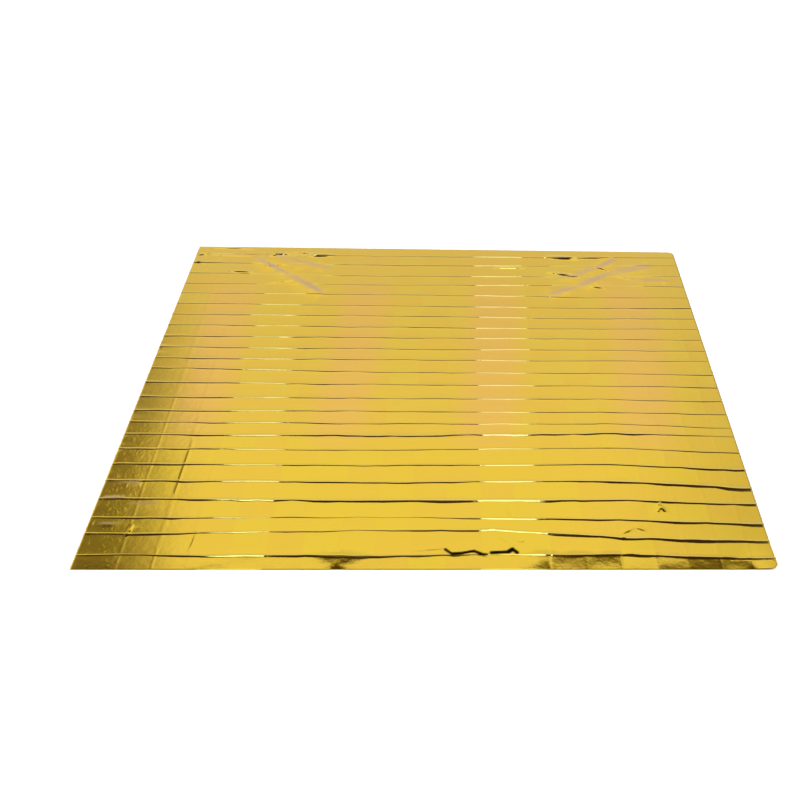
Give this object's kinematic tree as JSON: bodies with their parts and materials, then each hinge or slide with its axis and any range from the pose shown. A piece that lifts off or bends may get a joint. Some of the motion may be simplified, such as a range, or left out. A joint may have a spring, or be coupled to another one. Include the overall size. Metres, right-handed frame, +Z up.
{
  "type": "emergency foil blanket",
  "caption": "Rectangular sheet of thin gold metallised film, spread flat, with the long low creases and cross folds of its accordion packing.",
  "frame": {"origin": "under the middle of the sheet, on the surface it lies on", "axes": "+X along the long side, +Y along the short side away from the front edge, +Z up"},
  "size_m": [2.1188, 1.6412, 0.0077],
  "materials": {
    "gold_film": "polyester film with a vacuum-metallised layer under a clear gold tint, glossy, with pressed creases"
  },
  "bodies": {
    "root": {"foil_sheet": "gold_film"}
  },
  "joints": []
}
